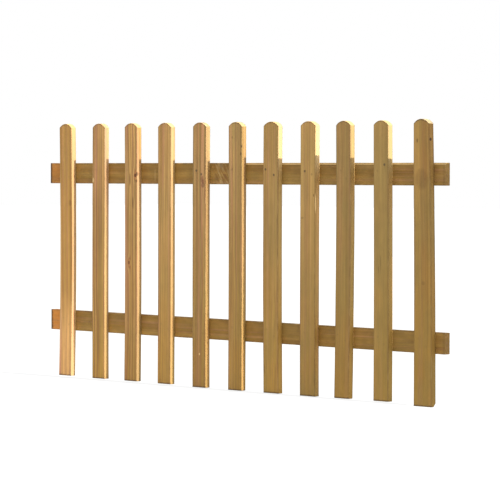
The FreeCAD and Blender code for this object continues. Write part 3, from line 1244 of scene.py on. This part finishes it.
class FENCE_OT_pickets(bpy.types.Operator):
    """Build every picket, warm in tone at the left of the panel and olive at the right"""

    bl_idname = "fence.pickets"
    bl_label = "Build pickets"

    def execute(self, context):
        for order, node in enumerate(PICKETS):
            board = picket_board(node)
            across = order / (len(PICKETS) - 1)
            tones = picket_tones(node, across, context.scene.fence_colours)
            amounts = picket_amounts(node, across)
            nails = nails_of(node, context.scene.fence_nails)
            amounts.update({name: nail.weathered for name, nail in zip(STAIN_SOCKETS, nails)})
            places = [nail_place(node, rail, nail) for rail, nail in zip(NAIL_RAILS, nails)]
            held = sorted(level_of(rail) - board.middle.z for rail in RAILS)
            warp = warp_of(node, context.scene.fence_boards)
            dress_board(board, tones, amounts, places, held, warp)
        return {"FINISHED"}


class FENCE_OT_rails(bpy.types.Operator):
    """Build the two rails that carry the pickets"""

    bl_idname = "fence.rails"
    bl_label = "Build rails"

    def execute(self, context):
        colours = context.scene.fence_colours
        # wane: strength of the painted highlight along the upper rail's wane
        for node, (orange, end_tone, right_tone, wane) in RAIL_LOOKS.items():
            board = rail_board(node)
            tones = (colours.rail_pale, colours.rail_deep, shaded(colours.rail_end, end_tone))
            ends = (-board.length / 2, board.length / 2)
            amounts = {
                **RAIL_FINISH, "Foot amount": orange, "Foot start": ends[0] + 0.13,
                "Foot end": ends[0] + 0.07, "Head tone": right_tone, "Wane highlight": wane,
            }
            dress_board(board, tones, amounts, [], ends, WARPS[node])
        return {"FINISHED"}


class FENCE_OT_nails(bpy.types.Operator):
    """Set two nail heads where each picket crosses a rail"""

    bl_idname = "fence.nails"
    bl_label = "Set nails"

    HEAD_SIDES = 20

    def execute(self, context):
        nails = context.scene.fence_nails
        points = bpy.data.meshes.new("nail points")
        places = []
        wear = []
        for node in PICKETS:
            for rail, nail in zip(NAIL_RAILS, nails_of(node, nails)):
                places.append(nail_place(node, rail, nail))
                wear.append(nail.weathered)
        points.from_pydata(places, [], [])
        points.attributes.new(WEATHERED, "FLOAT", "POINT").data.foreach_set("value", wear)
        values = {
            "Radius": nails.head / 2, "Proud": nails.proud, "Sides": self.HEAD_SIDES, "Seed": nails.seed,
            "Material": nail_material(context.scene.fence_colours),
        }
        piece = made_by_nodes("nails", points, nail_tree(), values)
        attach(piece, BODY)
        return {"FINISHED"}


def seen_directly(wire):
    """1 for rays that show the background itself, in the picture or in a reflection."""
    path = wire.node("ShaderNodeLightPath").outputs
    seen = wire.math("MAXIMUM", path["Is Camera Ray"], path["Is Glossy Ray"])
    return wire.math("MAXIMUM", seen, path["Is Transmission Ray"])


def show_apart(wire, output, lighting, shown):
    """Ends a tree with one shader for the light that it gives and one for how it looks itself."""
    inputs = {0: seen_directly(wire), 1: lighting.outputs[0], 2: shown.outputs[0]}
    mix = wire.node("ShaderNodeMixShader", inputs)
    wire.node(output, {"Surface": mix.outputs[0]})


def white_sky(strength):
    """A world that looks white and lights the panel with a softer sky."""
    world = bpy.data.worlds.new("White sky")
    world.use_nodes = True
    wire = Wiring(world.node_tree)
    wire.tree.nodes.clear()
    light = wire.node("ShaderNodeBackground", {"Color": SKY_COLOUR, "Strength": strength})
    shown = wire.node("ShaderNodeBackground", {"Color": WHITE, "Strength": 1.0})
    show_apart(wire, "ShaderNodeOutputWorld", light, shown)
    return world


def white_floor_material():
    """A floor that looks white but for a faint shadow, and throws back little light."""
    material, wire = new_material("white floor")
    wire.tree.nodes.clear()
    ground = wire.node("ShaderNodeBsdfDiffuse", {"Color": FLOOR_BOUNCE})
    shade = wire.node("ShaderNodeBsdfDiffuse", {"Color": FLOOR_SHADE})
    glow = wire.node("ShaderNodeEmission", {"Color": WHITE, "Strength": FLOOR_GLOW})
    white = wire.node("ShaderNodeAddShader", {0: shade.outputs[0], 1: glow.outputs[0]})
    show_apart(wire, "ShaderNodeOutputMaterial", ground, white)
    return material


def towards(azimuth, elevation):
    """Unit vector from the panel, azimuth counted round to the right of its front."""
    flat = math.cos(elevation)
    return Vector((math.sin(azimuth) * flat, -math.cos(azimuth) * flat, math.sin(elevation)))


class FENCE_OT_stage(bpy.types.Operator):
    """Set the floor, sky, lamps and camera"""

    bl_idname = "fence.stage"
    bl_label = "Set stage"

    FILL_SIZE = math.radians(70)
    LAMP_COLOUR = (1.0, 0.99, 0.96)
    CAMERA_REACH = 100.0

    def execute(self, context):
        stage = context.scene.fence_stage
        self.add_floor(stage)
        self.add_light(stage)
        self.add_camera(stage)
        context.scene.world = white_sky(stage.sky_strength)
        context.scene.view_settings.view_transform = "Standard"
        return {"FINISHED"}

    def add_floor(self, stage):
        half = stage.floor_span / 2
        pickets = [bpy.data.objects[name] for name in board_names(PICKETS)]
        ground = min(corner[2] for picket in pickets for corner in picket.bound_box)
        mesh = bpy.data.meshes.new(FLOOR)
        outline = ((-half, -half), (half, -half), (half, half), (-half, half))
        mesh.from_pydata([(x, y, ground) for x, y in outline], [], [(0, 1, 2, 3)])
        mesh.materials.append(white_floor_material())
        put_in_scene(FLOOR, mesh)

    def add_light(self, stage):
        for number, (azimuth, pieces) in enumerate(zip(stage.suns, SUNLIT), 1):
            source = towards(azimuth, stage.sun_elevation)
            sun = self.add_lamp(f"sun {number}", source, stage.sun_strength, stage.sun_size)
            self.light_only(pieces, sun)
        source = towards(math.radians(180), stage.top_elevation)
        top = self.add_lamp("top lamp", source, stage.top_strength, stage.sun_size)
        self.light_only(TOPLIT, top)
        source = towards(stage.fill_azimuth, stage.fill_elevation)
        self.add_lamp("fill", source, stage.fill_strength, self.FILL_SIZE)

    def light_only(self, pieces, lamp):
        """Keeps a lamp to some of the pieces, though every piece still casts its shadows."""
        receivers = bpy.data.collections.new(f"lit by {lamp.name}")
        for piece in pieces:
            receivers.objects.link(bpy.data.objects[piece])
        lamp.light_linking.receiver_collection = receivers

    def add_lamp(self, name, source, strength, size):
        """A far lamp, at which the source vector points from the panel."""
        light = bpy.data.lights.new(name, "SUN")
        light.energy = strength
        light.angle = size
        light.color = self.LAMP_COLOUR
        lamp = put_in_scene(name, light)
        lamp.rotation_euler = source.to_track_quat("Z", "Y").to_euler()
        return lamp

    def add_camera(self, stage):
        data = bpy.data.cameras.new("camera")
        data.lens = stage.lens
        data.clip_end = self.CAMERA_REACH
        camera = put_in_scene("camera", data)
        camera.rotation_mode = "QUATERNION"
        level = Euler((math.radians(90) - stage.elevation, 0.0, stage.azimuth)).to_quaternion()
        camera.rotation_quaternion = level @ Quaternion((0.0, 0.0, 1.0), stage.roll)
        camera.location = Vector(stage.target) + towards(stage.azimuth, stage.elevation) * stage.distance
        bpy.context.scene.camera = camera


class FENCE_PT_panel(bpy.types.Panel):
    """Lists the steps that build the fence panel, and its sizes and colours"""

    bl_label = "Picket fence panel"
    bl_space_type = "VIEW_3D"
    bl_region_type = "UI"
    bl_category = "Fence"

    def draw(self, context):
        for operator in OPERATORS:
            self.layout.operator(operator.bl_idname)
        for name in SETTINGS:
            settings = getattr(context.scene, name)
            box = self.layout.box()
            for setting in settings.bl_rna.properties:
                if setting.identifier in settings.__annotations__:
                    box.prop(settings, setting.identifier)


OPERATORS = (FENCE_OT_pickets, FENCE_OT_rails, FENCE_OT_nails, FENCE_OT_stage)
SETTINGS = {
    "fence_boards": FenceBoards,
    "fence_colours": FenceColours,
    "fence_nails": FenceNails,
    "fence_stage": FenceStage,
}


def register():
    for name, settings in SETTINGS.items():
        bpy.utils.register_class(settings)
        setattr(bpy.types.Scene, name, PointerProperty(type=settings))
    for operator in OPERATORS:
        bpy.utils.register_class(operator)
    bpy.utils.register_class(FENCE_PT_panel)


def unregister():
    bpy.utils.unregister_class(FENCE_PT_panel)
    for operator in reversed(OPERATORS):
        bpy.utils.unregister_class(operator)
    for name, settings in SETTINGS.items():
        delattr(bpy.types.Scene, name)
        bpy.utils.unregister_class(settings)


def main():
    register()
    bpy.ops.fence.pickets()
    bpy.ops.fence.rails()
    bpy.ops.fence.nails()
    bpy.ops.fence.stage()


if __name__ == "__main__":
    main()
